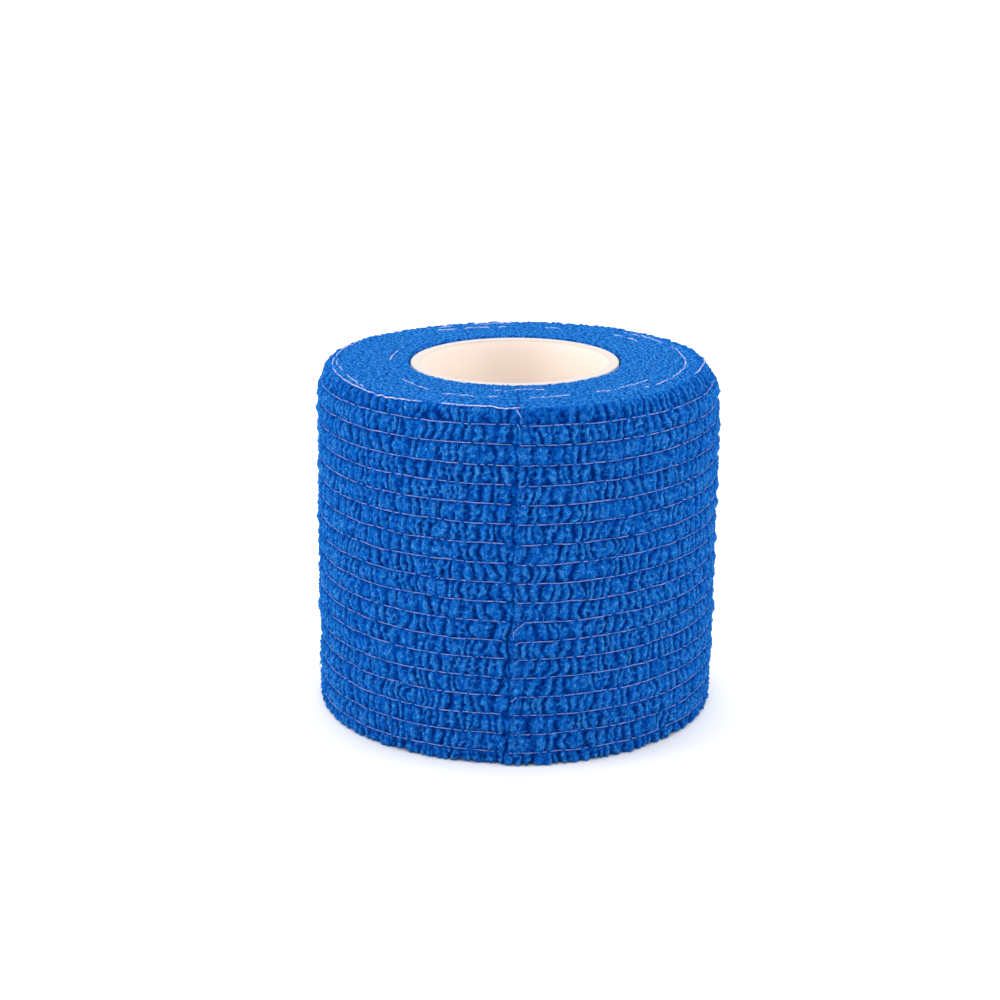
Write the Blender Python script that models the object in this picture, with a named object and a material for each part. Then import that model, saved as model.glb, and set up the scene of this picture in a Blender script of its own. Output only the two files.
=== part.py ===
"""Roll of crinkled cohesive bandage wound on a plastic core, standing on end.

Metres, +Z up. The origin is on the surface that the roll stands on, at the middle of its outline.
Bearings are about +Z from +X, so -90 degrees is the front, where the cut end of the bandage lies.
"""

import bpy
import bmesh
import math
import random

# Driving dimensions
TAPE_WIDTH = 0.0500
OUTER_RADIUS = 0.02900
TURN_THICKNESS = 0.00070
CORE_OUTER_RADIUS = 0.01470
CORE_WALL = 0.00140
CORE_LENGTH = 0.0496
FIT_GAP = 0.0003
COLUMNS = 72

# Each elastic thread draws the cloth in, and the cloth stands out as a rib between two threads
THREAD_COUNT = 18
THREAD_PITCH = 0.0026935
FIRST_THREAD_HEIGHT = 0.00190
RIB_DEPTH = 0.00045
RIB_UNEVENNESS = 0.00010
RIB_SWELLS = (4, 9)

# Points up the wall: how far above a thread, in pitches, and the share of the rib's depth drawn in there
RIB_POINTS = ((0.0, 1.0), (0.32, 0.0), (0.68, 0.0))

# The wall narrows a little to its foot and its rim, and leans to +X towards the top
FOOT_NARROWING = 0.00035
RIM_NARROWING = 0.00010
WALL_LEAN = 0.00055

# Below the rim the wall curves in at its two sides, more to +X than to -X, and it is a little flat at -X
SIDE_CURVE_HEIGHT = 0.0050
SIDE_CURVE_RIGHT = 0.0015
SIDE_CURVE_LEFT = 0.00065
SIDE_CURVE_POWER = 1.2
LEFT_FLATNESS = 0.00035

# The cut end slants, and the columns near it slant with it
CUT_BEARING_AT_BASE = math.radians(-92.5)
CUT_BEARING_AT_TOP = math.radians(-89.0)
CUT_STEP_WIDTH = 0.00035
SLANT_FADES_OVER = 0.12

BOTTOM_ROUNDING = 0.0008
INNER_EDGE_ROUNDING = 0.0005

# The top rim: bearing in degrees, radius of its shoulder, and its drop below the full width of the tape
RIM_BEARING, RIM_SHOULDER, RIM_DROP = range(3)
RIM_ROWS = (
    (-90, 0.0010, 0.0000),
    (-35, 0.0015, 0.0001),
    (10, 0.0018, 0.0003),
    (90, 0.0021, 0.0005),
    (165, 0.0016, 0.0003),
    (215, 0.0013, 0.0001),
)
SHOULDER_HEIGHT = 0.0014
SHOULDER_BEND = math.radians(15)
SHOULDER_STEPS = 3
RIM_WAVE = 0.00008
RIM_WAVES = 11

# Turns that stand apart enough to show as a groove in the top: place from the rim (0) to the core (1)
TOP_GROOVES = (0.06, 0.38, 0.68)
TOP_GROOVE_DEPTH = 0.00030
TOP_GROOVE_WIDTH = 0.00035
TOP_GROOVE_FADES_OVER = 0.04


def clear_scene():
    for existing in list(bpy.data.objects):
        bpy.data.objects.remove(existing, do_unlink=True)


def make_material(name, colour, roughness, sheen=0.0):
    material = bpy.data.materials.new(name)
    material.use_nodes = True
    shader = material.node_tree.nodes["Principled BSDF"]
    shader.inputs["Base Color"].default_value = (*colour, 1.0)
    shader.inputs["Roughness"].default_value = roughness
    shader.inputs["Metallic"].default_value = 0.0
    shader.inputs["Sheen Weight"].default_value = sheen
    return material


def add_ring(name, columns, material):
    """A closed ring of upright sections. Each section is a loop of points: bearing, radius and height."""
    shape = bmesh.new()
    rings = []
    for column in columns:
        places = [(radius * math.cos(at), radius * math.sin(at), height) for at, radius, height in column]
        rings.append([shape.verts.new(place) for place in places])
    for near, far in zip(rings, rings[1:] + rings[:1]):
        for low in range(len(near)):
            high = (low + 1) % len(near)
            shape.faces.new((near[low], far[low], far[high], near[high]))
    bmesh.ops.recalc_face_normals(shape, faces=shape.faces)
    mesh = bpy.data.meshes.new(name)
    shape.to_mesh(mesh)
    shape.free()
    mesh.materials.append(material)
    mesh.shade_smooth()
    mesh.set_sharp_from_angle(angle=math.radians(50))
    made = bpy.data.objects.new(name, mesh)
    # The origin is at the middle of the spiral's outline, a little off the roll's axis
    made.location = (-TURN_THICKNESS / 4 - LEFT_FLATNESS / 2, TURN_THICKNESS / 4, 0.0)
    bpy.context.scene.collection.objects.link(made)


def rim_at(bearing):
    """The rim's shoulder and drop at a bearing, eased from each row of the table to the next."""
    first = RIM_ROWS[0][RIM_BEARING]
    turned = (math.degrees(bearing) - first) % 360.0
    for low, high in zip(RIM_ROWS, RIM_ROWS[1:] + RIM_ROWS[:1]):
        start = low[RIM_BEARING] - first
        span = (high[RIM_BEARING] - low[RIM_BEARING]) % 360.0
        if start <= turned <= start + span:
            share = (turned - start) / span
            eased = share * share * (3.0 - 2.0 * share)
            shoulder = low[RIM_SHOULDER] + eased * (high[RIM_SHOULDER] - low[RIM_SHOULDER])
            drop = low[RIM_DROP] + eased * (high[RIM_DROP] - low[RIM_DROP])
            return shoulder, drop
    return RIM_ROWS[0][RIM_SHOULDER], RIM_ROWS[0][RIM_DROP]


def cut_bearing(height):
    return CUT_BEARING_AT_BASE + height / TAPE_WIDTH * (CUT_BEARING_AT_TOP - CUT_BEARING_AT_BASE)


def bearing_at(turn, height):
    """Bearing of a column that stands a share of the outermost turn on from the cut end."""
    upright = cut_bearing(TAPE_WIDTH / 2)
    slant = max(0.0, 1.0 - min(turn, 1.0 - turn) / SLANT_FADES_OVER)
    return upright + turn * math.tau + slant * (cut_bearing(height) - upright)


def wall_radius(turn, height):
    """The outermost turn winds inwards by its own thickness between the cut end and itself."""
    above_middle = 2.0 * height / TAPE_WIDTH - 1.0
    narrowing = RIM_NARROWING if above_middle > 0.0 else FOOT_NARROWING
    to_right = math.cos(bearing_at(turn, height))
    lean = WALL_LEAN / 2 * above_middle * to_right
    flatness = LEFT_FLATNESS * min(0.0, to_right) ** 2
    near_rim = max(0.0, 1.0 - (TAPE_WIDTH - height) / SIDE_CURVE_HEIGHT)
    most_curve = SIDE_CURVE_RIGHT if to_right > 0.0 else SIDE_CURVE_LEFT
    curve = most_curve * to_right**2 * near_rim**SIDE_CURVE_POWER
    return OUTER_RADIUS - TURN_THICKNESS * turn - narrowing * above_middle**2 + lean - flatness - curve


def wall_points(turn, swells):
    """Foot, ribs and thread grooves of the wall, from the base up to the rim's shoulder."""
    lowest_shoulder = TAPE_WIDTH - SHOULDER_HEIGHT - max(row[RIM_DROP] for row in RIM_ROWS)
    foot = wall_radius(turn, 0.0)
    points = [
        (foot - BOTTOM_ROUNDING, 0.0),
        (foot - 0.3 * BOTTOM_ROUNDING, 0.3 * BOTTOM_ROUNDING),
        (foot, BOTTOM_ROUNDING),
    ]
    for thread in range(THREAD_COUNT):
        waves, phase = swells[thread]
        uneven = RIB_UNEVENNESS * math.sin(math.tau * (waves * turn + phase))
        for above, drawn_in in RIB_POINTS:
            height = FIRST_THREAD_HEIGHT + (thread + above) * THREAD_PITCH
            radius = wall_radius(turn, height) - drawn_in * RIB_DEPTH + (1.0 - drawn_in) * uneven
            if height < lowest_shoulder:
                points.append((radius, height))
    return points


def top_points(turn):
    """Rounded rim, then the top face with its grooves, as far as the edge over the core."""
    bearing = bearing_at(turn, TAPE_WIDTH)
    shoulder, drop = rim_at(bearing)
    drop = drop + RIM_WAVE * math.sin(RIM_WAVES * bearing)
    rim = wall_radius(turn, TAPE_WIDTH)
    points = []
    for step in range(SHOULDER_STEPS + 1):
        bend = SHOULDER_BEND + step / SHOULDER_STEPS * (math.pi / 2 - SHOULDER_BEND)
        height = TAPE_WIDTH - drop - SHOULDER_HEIGHT * (1.0 - math.sin(bend))
        points.append((rim - shoulder * (1.0 - math.cos(bend)), height))

    face_outer = rim - shoulder
    face_inner = CORE_OUTER_RADIUS + FIT_GAP + INNER_EDGE_ROUNDING
    fade = min(1.0, min(turn, 1.0 - turn) / TOP_GROOVE_FADES_OVER)
    for inwards in TOP_GROOVES:
        radius = face_outer - inwards * (face_outer - face_inner)
        height = TAPE_WIDTH - drop * (1.0 - inwards)
        points.append((radius, height - fade * TOP_GROOVE_DEPTH))
        points.append((radius - TOP_GROOVE_WIDTH, height))
    points.append((face_inner, TAPE_WIDTH))
    points.append((face_inner - INNER_EDGE_ROUNDING, TAPE_WIDTH - INNER_EDGE_ROUNDING))
    return points


def make_bandage():
    """The wound bandage as one solid: a ring of upright sections, open only for its core."""
    dice = random.Random(7)
    swells = [(dice.randint(*RIB_SWELLS), dice.random()) for _ in range(THREAD_COUNT)]
    last_turn = 1.0 - CUT_STEP_WIDTH / (math.tau * OUTER_RADIUS)
    columns = []
    for column in range(COLUMNS):
        turn = last_turn * column / (COLUMNS - 1)
        section = [(CORE_OUTER_RADIUS + FIT_GAP, 0.0)] + wall_points(turn, swells) + top_points(turn)
        columns.append([(bearing_at(turn, height), radius, height) for radius, height in section])
    add_ring("bandage", columns, make_material("blue crinkled cloth", (0.010, 0.115, 0.56), 0.85, 0.3))


def make_core():
    """The plastic tube that the bandage is wound on, with the edges of its wall broken."""
    chamfer = 0.25 * CORE_WALL
    low = (TAPE_WIDTH - CORE_LENGTH) / 2
    high = low + CORE_LENGTH
    outer = CORE_OUTER_RADIUS
    inner = CORE_OUTER_RADIUS - CORE_WALL
    section = (
        (inner, low + chamfer),
        (inner + chamfer, low),
        (outer - chamfer, low),
        (outer, low + chamfer),
        (outer, high - chamfer),
        (outer - chamfer, high),
        (inner + chamfer, high),
        (inner, high - chamfer),
    )
    columns = []
    for column in range(COLUMNS):
        columns.append([(math.tau * column / COLUMNS, radius, height) for radius, height in section])
    add_ring("core", columns, make_material("white plastic", (0.86, 0.80, 0.74), 0.4))


clear_scene()
make_core()
make_bandage()
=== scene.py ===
"""Looks of a roll of blue crinkled cohesive bandage on a white plastic core, standing on end.

The wound cloth is one long grid of points, from the core's edge underneath, up the wall and over the rim to
the core's edge on top. Puckers, folds and fuzz are raised in it, and it is cut into rings at the threads.
Lengths are in millimetres here and become metres as each mesh is made. Bearings are radians about +Z from +X.
"turn" is how far round the outermost turn a point lies, from 0 at the cut end to 1 under it. "along" is the
same in millimetres.
"""

import bpy
import math
import numpy as np
from mathutils import Matrix, Vector


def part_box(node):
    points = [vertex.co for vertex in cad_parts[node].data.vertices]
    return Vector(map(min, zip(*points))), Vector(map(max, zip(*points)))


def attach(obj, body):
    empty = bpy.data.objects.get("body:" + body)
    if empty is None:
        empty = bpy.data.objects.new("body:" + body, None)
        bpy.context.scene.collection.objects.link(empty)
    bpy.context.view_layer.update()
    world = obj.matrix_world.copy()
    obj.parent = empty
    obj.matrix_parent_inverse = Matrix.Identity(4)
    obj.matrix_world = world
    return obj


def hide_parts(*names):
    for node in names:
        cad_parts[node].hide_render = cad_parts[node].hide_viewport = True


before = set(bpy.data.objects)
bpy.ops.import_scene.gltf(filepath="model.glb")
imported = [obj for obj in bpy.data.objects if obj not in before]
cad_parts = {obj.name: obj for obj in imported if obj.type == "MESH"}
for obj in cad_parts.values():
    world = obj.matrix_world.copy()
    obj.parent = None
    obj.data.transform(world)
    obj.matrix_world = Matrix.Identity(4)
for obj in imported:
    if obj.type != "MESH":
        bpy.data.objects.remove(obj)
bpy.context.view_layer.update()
MM = 0.001

# Sizes of the roll, as in the frame
CORE_LOW, CORE_HIGH = (np.array(corner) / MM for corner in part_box("core"))
AXIS = (CORE_LOW + CORE_HIGH)[:2] / 2
CORE_RADIUS = (CORE_HIGH[0] - CORE_LOW[0]) / 2
CORE_WALL = 1.4
TAPE_WIDTH = 50.0
OUTER_RADIUS = 29.0
TURN_THICKNESS = 0.70
INNER_RADIUS = CORE_RADIUS + 0.3
CIRCUMFERENCE = math.tau * OUTER_RADIUS

# Elastic threads, and the bands of cloth that puff out between them
THREAD_COUNT = 18
THREAD_PITCH = 2.6935
FIRST_THREAD_HEIGHT = 1.90
THREAD_WANDER = 0.07
WIDE_WANDER = 0.8
FINE_WANDER = 0.45
THREAD_RADIUS = 0.068
THREAD_LIFT = 0.07
RIB_DEPTH = 0.34

# Where a thread starts, along from the cut end, and how far short of the cut it stops, a turn on
THREAD_STARTS = (0.0, 0.4)
THREAD_STOPS = (0.3, 1.0)

# Where cloth covers a thread: distance from one such place to the next, and its half width and depth
COVER_PITCH = 1.55
COVER_EVENNESS = 2.5
COVER_WIDTHS = (0.10, 0.30)
COVER_DEPTHS = (0.06, 0.20)

# The wall narrows a little to its foot and its rim, and leans to +X towards the top
FOOT_NARROWING = 0.35
RIM_NARROWING = 0.10
WALL_LEAN = 0.55

# Below the rim the wall curves in at its two sides, more to +X than to -X, and it is a little flat at -X
SIDE_CURVE_HEIGHT = 5.0
SIDE_CURVE_RIGHT = 1.5
SIDE_CURVE_LEFT = 0.65
SIDE_CURVE_POWER = 1.2
LEFT_FLATNESS = 0.35

# The cut end
CUT_BEARING_AT_BASE = math.radians(-92.5)
CUT_BEARING_AT_TOP = math.radians(-89.0)
SLANT_FADES_OVER = 0.12
CUT_RAGGEDNESS = 0.15
RAGGEDNESS_FADES_OVER = 0.008

# The top rim: bearing in degrees, radius of its shoulder, and its drop below the full width of the tape
RIM_BEARING, RIM_SHOULDER, RIM_DROP = range(3)
RIM_ROWS = (
    (-90, 1.0, 0.0),
    (-35, 1.5, 0.1),
    (10, 1.8, 0.3),
    (90, 2.1, 0.5),
    (165, 1.6, 0.3),
    (215, 1.3, 0.1),
)
SHOULDER_HEIGHT = 1.4
SHOULDER_ROWS = 9
BELOW_SHOULDER = 0.35
FOOT_ROUNDING = 0.8
INNER_EDGE_ROUNDING = 0.5
INNER_EDGE_DROP = 0.05

# Resolution of the cloth's grid
COLUMNS = 960
ROWS_PER_BAND = 14
FACE_ROWS = 58
UNDERSIDE_ROWS = 24
RINGS = ((0, 2), (2, 7), (7, 12), (12, 17), (17, THREAD_COUNT + 1))

# Puckers across the tape, and smaller folds, pits and streaks on them
PUCKER_PITCH = 1.46
PUCKER_EVENNESS = 9.0
PUCKER_DEPTH = 0.56
PUCKER_AT_THREAD = 0.25
PUCKER_SHARPNESS = 1.2
PUCKER_AT_RIM = 0.22
PUCKER_LEAN = 0.50
PUCKER_BOW = 0.34
PUCKER_WIGGLE = 0.10
PUCKER_AT_CUT = 0.15
PUCKERS_GROW_OVER = 1.6
MIDDLE_RIDGE = 0.75
RIDGE_HEIGHTS = (0.70, 1.12)
GROOVE_DEPTHS = (0.35, 0.7, 0.9, 1.1)
GROOVE_CHANCES = (0.15, 0.25, 0.3, 0.3)
FOLD_CELL = (0.78, 1.00)
FOLD_HEIGHT = 0.16
FOLD_WIDTH = 0.20
PIT_DEPTH = 0.26
PIT_WIDTH = 0.24
STREAK_HEIGHT = 0.060
GRAIN_DEPTH = 0.055
SWELL_HEIGHT = 0.05
WALL_RELIEF_REACH = 0.7

# The top and the underside: tufts, lines from turn to turn, and fuzz
TUFT_SIZE = 0.38
TUFT_HEIGHT = 0.08
TUFT_MIDDLE = 0.4
TURN_LINE_DEPTH = 0.14
TURN_LINE_CRIMP = 0.22
FACE_GRAIN_DEPTH = 0.035
FUZZ_HEIGHT = 0.045

# Painted light and shade from the relief, darker in hollows and lighter on crests: its middle value, the
# relief that changes it by 1, and the share of pale fibre on crests, which is a painted highlight
FACE_TINT = 0.38
FACE_TINT_HEIGHT = 0.16
FACE_CREST_SHARE = 1.2
WALL_TINT = 0.52
WALL_TINT_HEIGHT = 0.40
WALL_CREST_SHARE = 0.36
# Paleness added all over the top and underside, as a painted highlight along the folds of the wall, and as a
# painted highlight on the cut edge
PALENESS = 0.26
CUT_EDGE_PALENESS = 0.2

# The shade on the cloth just under the cut end
CUT_SHADE = 0.6
CUT_SHADE_WIDTH = 0.6
CUT_SHADE_FADES_OVER = 0.4

# At the cut the top turn thins out, and the cloth under it stands up to it
FLAP_THINNING = 0.14
FLAP_THINNING_WIDTH = 0.22
STEP_FILL = 0.36
STEP_FILL_WIDTH = 3.0

# Curled ends of threads at the cut, from the lowest thread: (along, rise from the thread) to each free end
THREAD_CURLS = {
    3: ((0.8, 0.0), (0.5, -0.30), (0.15, -0.42)),
    5: ((1.1, 0.0), (0.8, -0.22), (0.45, -0.45)),
    6: ((1.3, 0.0), (0.9, -0.15), (0.4, -0.38)),
    7: ((1.7, 0.0), (0.9, -0.70), (0.1, -1.25), (0.05, -1.80), (0.35, -2.25)),
}
# Loose bits of thread at the top of the cut: (along, height) of each end
LOOSE_BITS = (((-0.55, 50.2), (0.20, 48.9)), ((-0.30, 48.1), (0.05, 47.3)))
LOOSE_BIT_RADIUS = 0.07
LOOSE_BIT_LIFT = 0.18

# Threads at the edges of the turns, laid bare on the top: radius and bearing in degrees, for each point
TOP_THREADS = (
    ((26.0, 153), (25.8, 166), (25.6, 180), (25.8, 196), (26.3, 211)),
    ((26.3, 211), (27.0, 223), (27.2, 234), (27.2, 243)),
    ((25.1, 180), (24.6, 197), (25.2, 210), (26.0, 218)),
    ((27.2, 249), (27.5, 257), (27.7, 265), (27.9, 272)),
    ((19.4, -143), (20.7, -128), (21.2, -122)),
    ((17.6, 181), (17.4, 166), (18.0, 153)),
    ((18.9, -99), (18.1, -88), (18.5, -78)),
    ((22.4, -116), (22.2, -106), (22.1, -96)),
    ((22.6, -88), (22.4, -80), (22.1, -70)),
    ((22.1, -64), (22.1, -55), (21.9, -45), (21.8, -34)),
    ((24.8, 41), (24.4, 32), (24.4, 21), (24.0, 6), (24.0, -9), (24.0, -22), (24.2, -36), (24.3, -44)),
    ((26.9, 5), (26.7, -2), (26.3, -11), (26.2, -20)),
    ((22.1, 49), (22.0, 41), (21.7, 33)),
    ((24.7, 48), (24.1, 40)),
    ((25.0, 121), (24.7, 116), (25.0, 112)),
    ((22.8, 120), (22.5, 112), (22.4, 103), (22.3, 93)),
    ((24.9, 107), (25.5, 99), (25.9, 90)),
    ((22.3, 78), (22.5, 74), (21.4, 68)),
)
TOP_THREAD_RADIUS = 0.085
TOP_THREAD_STEP = 0.22
TOP_THREAD_LIFT = 0.05
TOP_THREAD_COVER = 0.16

# Stray fibres all over the cloth
FIBRE_COUNT = 3400
FIBRE_POINTS = 4
FIBRE_RADIUS = 0.026
FIBRE_SHORTEST = 0.5
FIBRE_LONGEST = 1.7
FIBRE_BEND = 0.35
FIBRE_LIFT = 0.05
FIBRE_SINK = 0.03
CUT_FIBRE_COUNT = 160
CUT_FIBRE_LONGEST = 1.0

# Thin tubes, and the places of their sides and ends on the map
TUBE_SIDES = 4
TUBE_END = 0.4
SIDES_MAP_WIDTH = 0.9
SIDES_MAP_MARGIN = 0.05
ENDS_MAP_PLACES = (0.91, 0.96)
ENDS_MAP_WIDTH = 0.03
RING_MAP_MARGIN = 0.01

# The tube of the core
CORE_COLUMNS = 256
CORE_ROUNDING = 0.22
CORE_INSIDE_ROWS = 12
CORE_INSIDE_MARGIN = 1.5
CORE_RIM_DEPTH = 0.35
CORE_RIM_FADES_OVER = 0.3

# Colours of the cloth from its hollows to its crests: painted shade in the hollows and painted light on the
# crests. Then blotches and specks in the cloth's own tone, painted light on raised fibres and crests, a
# painted highlight on the brightest crests, and the tint of the cloth's sheen
CLOTH_STOPS = (
    (0.0, (0.000, 0.006, 0.125)),
    (0.35, (0.000, 0.034, 0.300)),
    (0.62, (0.000, 0.076, 0.440)),
    (1.0, (0.001, 0.120, 0.560)),
)
BLOTCH_COLOUR = (0.000, 0.084, 0.480)
SPECK_COLOUR = (0.000, 0.020, 0.220)
LIT_COLOUR = (0.001, 0.175, 0.640)
CREST_HIGHLIGHT_COLOUR = (0.060, 0.290, 0.740)
SHEEN_COLOUR = (0.01, 0.60, 1.0)

# Pairs of close shades, and the core's rim: a little greyer than its inside and painted much darker, as
# painted shade that evens out the stronger light on it
THREAD_COLOURS = ((0.08, 0.22, 0.60), (0.34, 0.38, 0.74))
BARE_THREAD_COLOURS = ((0.10, 0.24, 0.62), (0.66, 0.62, 0.82))
FIBRE_COLOURS = ((0.00, 0.12, 0.54), (0.06, 0.27, 0.72))
CREAM_COLOURS = ((0.95, 0.835, 0.755), (0.97, 0.865, 0.79))
CORE_RIM_SHADE_COLOUR = (0.56, 0.50, 0.465)
FLOOR_COLOURS = ((0.93, 0.93, 0.93), (0.94, 0.94, 0.94))

# Lamps: name, place and size in metres, and power
LAMPS = (
    ("overhead", (0.0, 0.0, 0.75), 0.5, 2.5),
    ("front", (0.0, -0.50, 0.55), 0.4, 1.15),
    ("left", (-0.70, -0.15, 0.30), 0.4, 3.0),
    ("right", (0.70, -0.12, 0.30), 0.4, 2.2),
)
FLOOR_LAMP_PLACE = (0.0, 1.30, 0.90)
FLOOR_LAMP_SIZE = (3.0, 1.6)
FLOOR_LAMP_POWER = 26.0
WORLD_BRIGHTNESS = 0.48

# The camera: its place from the roll's axis, and the ways to its right and up
CAMERA_PLACE = (-2.48, -329.07, 126.90)
CAMERA_RIGHT = (0.999990, -0.001340, -0.000636)
CAMERA_UP = (0.000990, 0.284525, 0.958668)
CAMERA_LENS = 86.1


def ease(share):
    share = np.clip(share, 0.0, 1.0)
    return share * share * (3.0 - 2.0 * share)


def smooth_noise(dice, shape, blur):
    """Noise with a spread of 1 that repeats at the grid's edges. blur is in grid steps, down and across."""
    waves = np.fft.rfft2(dice.standard_normal(shape))
    down = np.fft.fftfreq(shape[0])[:, None] * blur[0]
    across = np.fft.rfftfreq(shape[1])[None, :] * blur[1]
    waves *= np.exp(-2.0 * math.pi**2 * (down**2 + across**2))
    field = np.fft.irfft2(waves, shape)
    return (field - field.mean()) / field.std()


def line_noise(dice, count, blur):
    return smooth_noise(dice, (1, count), (0.0, blur))[0]


def cells(dice, across, along, size):
    """Distances to the nearest and second nearest of scattered points, one to each cell of this size."""
    columns, rows = np.floor(across / size[0]).astype(int), np.floor(along / size[1]).astype(int)
    columns, rows = columns - columns.min() + 1, rows - rows.min() + 1
    scatter = dice.uniform(0.08, 0.92, (rows.max() + 2, columns.max() + 2, 2))
    start = np.floor(across.min() / size[0]) - 1, np.floor(along.min() / size[1]) - 1
    here = across / size[0] - start[0], along / size[1] - start[1]
    nearest = np.full(across.shape, 9.0)
    second = nearest.copy()
    for down in (-1, 0, 1):
        for over in (-1, 0, 1):
            point = scatter[rows + down, columns + over]
            away = np.hypot(columns + over + point[..., 0] - here[0], rows + down + point[..., 1] - here[1])
            second = np.minimum(second, np.maximum(away, nearest))
            nearest = np.minimum(nearest, away)
    return nearest, second


def blurred(field, reach):
    """A box blur, two passes each way, that keeps to the grid's own edges."""
    span = 2 * reach + 1
    for axis in (0, 1, 0, 1):
        pad = [(0, 0), (0, 0)]
        pad[axis] = (reach + 1, reach)
        total = np.cumsum(np.pad(field, pad, mode="edge"), axis=axis)
        high = np.take(total, range(span, total.shape[axis]), axis=axis)
        low = np.take(total, range(0, total.shape[axis] - span), axis=axis)
        field = (high - low) / span
    return field


def rim_at(bearing):
    """The rim's shoulder and drop at each bearing, eased from each row of the table to the next."""
    turned = (np.degrees(bearing) - RIM_ROWS[0][RIM_BEARING]) % 360.0
    shoulder, drop = np.zeros_like(turned), np.zeros_like(turned)
    for low, high in zip(RIM_ROWS, RIM_ROWS[1:] + RIM_ROWS[:1]):
        start = low[RIM_BEARING] - RIM_ROWS[0][RIM_BEARING]
        span = (high[RIM_BEARING] - low[RIM_BEARING]) % 360.0
        here = (turned >= start) & (turned <= start + span)
        share = ease((turned - start) / span)
        shoulder_here = low[RIM_SHOULDER] + share * (high[RIM_SHOULDER] - low[RIM_SHOULDER])
        drop_here = low[RIM_DROP] + share * (high[RIM_DROP] - low[RIM_DROP])
        shoulder = np.where(here, shoulder_here, shoulder)
        drop = np.where(here, drop_here, drop)
    return shoulder, drop


def cut_bearing(height):
    return CUT_BEARING_AT_BASE + height / TAPE_WIDTH * (CUT_BEARING_AT_TOP - CUT_BEARING_AT_BASE)


def bearing_at(turn, height, ragged=0.0):
    upright = cut_bearing(TAPE_WIDTH / 2)
    to_cut = np.minimum(turn, 1.0 - turn)
    slant = np.clip(1.0 - to_cut / SLANT_FADES_OVER, 0.0, 1.0)
    rag = np.clip(1.0 - to_cut / RAGGEDNESS_FADES_OVER, 0.0, 1.0) * ragged / OUTER_RADIUS
    return upright + turn * math.tau + slant * (cut_bearing(height) - upright) + rag


def wall_radius(turn, height):
    above_middle = 2.0 * height / TAPE_WIDTH - 1.0
    narrowing = np.where(above_middle > 0.0, RIM_NARROWING, FOOT_NARROWING)
    to_right = np.cos(bearing_at(turn, height))
    lean = WALL_LEAN / 2 * above_middle * to_right
    flatness = LEFT_FLATNESS * np.minimum(0.0, to_right) ** 2
    near_rim = np.maximum(0.0, 1.0 - (TAPE_WIDTH - height) / SIDE_CURVE_HEIGHT)
    most_curve = np.where(to_right > 0.0, SIDE_CURVE_RIGHT, SIDE_CURVE_LEFT)
    curve = most_curve * to_right**2 * near_rim**SIDE_CURVE_POWER
    return OUTER_RADIUS - TURN_THICKNESS * turn - narrowing * above_middle**2 + lean - flatness - curve


def place_at(radius, bearing, height):
    """Points in the row frame, in millimetres, from places about the roll's axis."""
    return np.stack((AXIS[0] + radius * np.cos(bearing), AXIS[1] + radius * np.sin(bearing), height), axis=-1)


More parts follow.
